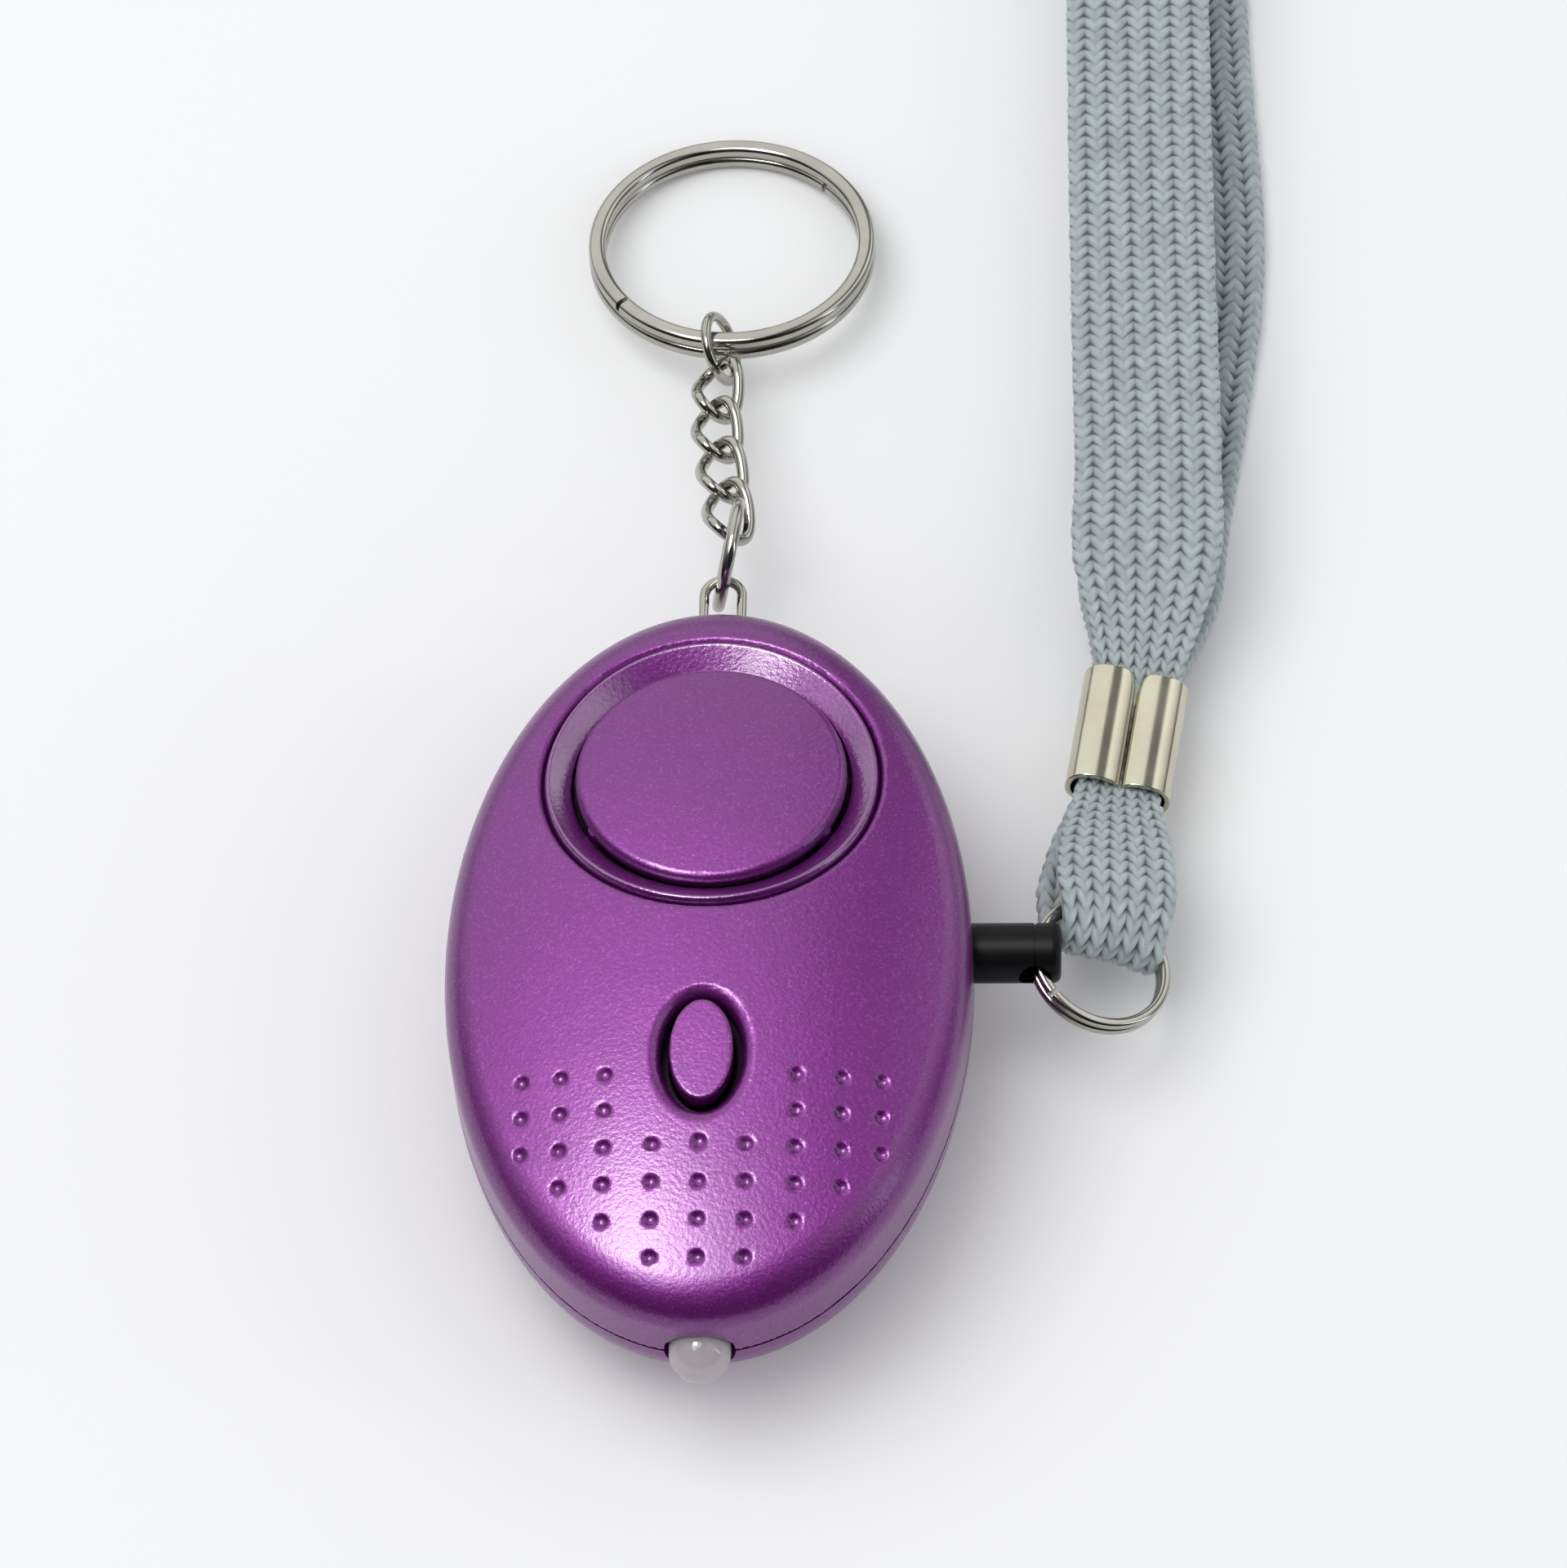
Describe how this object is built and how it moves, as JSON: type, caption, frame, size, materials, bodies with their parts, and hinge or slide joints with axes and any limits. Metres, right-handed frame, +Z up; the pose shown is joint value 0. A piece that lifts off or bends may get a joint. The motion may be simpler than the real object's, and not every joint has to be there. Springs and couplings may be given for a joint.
{
  "type": "personal safety alarm",
  "caption": "Egg-shaped personal safety alarm with a siren bezel, push button, end lamp, split key ring on a curb chain and a pull pin on a flat braided wrist strap.",
  "frame": {"origin": "middle of the rear cover's flat rest face, on the table", "axes": "+Z up out of the table, +Y along the egg towards the key chain, the lamp points to -Y, +X towards the pull pin"},
  "size_m": [0.0678, 0.2147, 0.0204],
  "materials": {
    "purple_paint": "satin metallic paint",
    "nickel_plate": "satin nickel plate",
    "bare_steel": "plain",
    "black_plastic": "matte",
    "red_plastic": "matte",
    "white_plastic": "matte",
    "black_rubber": "matte",
    "brass": "plain",
    "ceramic": "matte",
    "green_board": "satin",
    "clear_resin": "polished",
    "grey_braid": "woven"
  },
  "bodies": {
    "case": {"upper_shell": "purple_paint", "rear_cover": "purple_paint", "siren_bezel": "purple_paint", "siren_cap": "purple_paint", "piezo_gasket": "black_rubber", "piezo_plate": "brass", "piezo_ceramic": "ceramic", "switch_base": "bare_steel", "circuit_board": "green_board", "siren_chip": "black_plastic", "boost_coil": "black_plastic", "drive_transistor": "black_plastic", "lamp_bulb": "clear_resin", "lamp_leads": "bare_steel", "button_cell_1": "bare_steel", "button_cell_2": "bare_steel", "button_cell_3": "bare_steel", "battery_spring": "bare_steel", "battery_minus": "bare_steel", "battery_plus": "bare_steel", "pin_guide": "white_plastic", "contact_post": "brass", "contact_finger": "brass", "siren_wire_live": "red_plastic", "siren_wire_return": "black_plastic", "case_screws": "nickel_plate", "board_screws": "nickel_plate", "bail": "nickel_plate"},
    "button": {"light_button": "purple_paint"},
    "plunger": {"switch_plunger": "black_plastic"},
    "pin": {"pull_pin": "black_plastic"},
    "leaf": {"contact_leaf": "brass"},
    "strap_ring_body": {"strap_ring": "nickel_plate"},
    "strap": {"wrist_strap": "grey_braid", "strap_crimp": "nickel_plate"},
    "jump_ring": {"body_jump_ring": "nickel_plate"},
    "link_1": {"curb_link_1": "nickel_plate"},
    "link_2": {"curb_link_2": "nickel_plate"},
    "link_3": {"curb_link_3": "nickel_plate"},
    "link_4": {"curb_link_4": "nickel_plate"},
    "key_jump": {"key_jump_ring": "nickel_plate"},
    "keys": {"key_ring": "nickel_plate"}
  },
  "joints": [
    {"name": "button_press", "type": "slide", "parent": "case", "child": "button", "axis": [0, 0, -1], "range_m": [0, 0.0005], "stiffness_N_per_m": 2000, "springref_m": -0.0003},
    {"name": "plunger_press", "type": "slide", "parent": "case", "child": "plunger", "axis": [0, 0, -1], "range_m": [0, 0.0005]},
    {"name": "pin_pull", "type": "slide", "parent": "case", "child": "pin", "axis": [1, 0, 0], "range_m": [0, 0.014]},
    {"name": "leaf_close", "type": "hinge", "parent": "case", "child": "leaf", "pos_m": [0.00638, 0.00258, 0.01], "axis": [0, 0, 1], "range_deg": [0, 9]},
    {"name": "strap_ring_swing", "type": "hinge", "parent": "pin", "child": "strap_ring_body", "pos_m": [0.0265, 0.0033, 0.01], "axis": [0, -1, 0], "range_deg": [-45, 70]},
    {"name": "strap_turn", "type": "hinge", "parent": "strap_ring_body", "child": "strap", "pos_m": [0.03171, 0.0033, 0.00789], "axis": [0.3746, 0, 0.9272], "range_deg": [-40, 3]},
    {"name": "jump_ring_swing", "type": "hinge", "parent": "case", "child": "jump_ring", "pos_m": [0, 0.0404, 0.01], "axis": [1, 0, 0], "range_deg": [-45, 75]},
    {"name": "link_1_turn", "type": "hinge", "parent": "jump_ring", "child": "link_1", "pos_m": [0.00066, 0.04792, 0.00812], "axis": [0, 0.1908, 0.9816], "range_deg": [-8, 8]},
    {"name": "link_2_turn", "type": "hinge", "parent": "link_1", "child": "link_2", "pos_m": [-0.00023, 0.05072, 0.00768], "axis": [0, -0.1908, -0.9816], "range_deg": [-15, 15]},
    {"name": "link_3_turn", "type": "hinge", "parent": "link_2", "child": "link_3", "pos_m": [-0.00092, 0.05568, 0.00671], "axis": [0, 0.1908, 0.9816], "range_deg": [-15, 15]},
    {"name": "link_4_turn", "type": "hinge", "parent": "link_3", "child": "link_4", "pos_m": [-0.00145, 0.06066, 0.00574], "axis": [0, -0.1908, -0.9816], "range_deg": [-15, 15]},
    {"name": "key_jump_tip", "type": "hinge", "parent": "link_4", "child": "key_jump", "pos_m": [-0.00123, 0.06684, 0.00454], "axis": [1, 0, 0], "range_deg": [-15, 15]},
    {"name": "key_ring_tip", "type": "hinge", "parent": "key_jump", "child": "keys", "pos_m": [-0.00123, 0.06896, 0.00454], "axis": [1, 0, 0], "range_deg": [-60, 60]}
  ],
  "couplings": [
    {"joint": "plunger_press", "follows": "button_press", "ratio": 1},
    {"joint": "leaf_close", "follows": "pin_pull", "rad_per_m": 11}
  ]
}
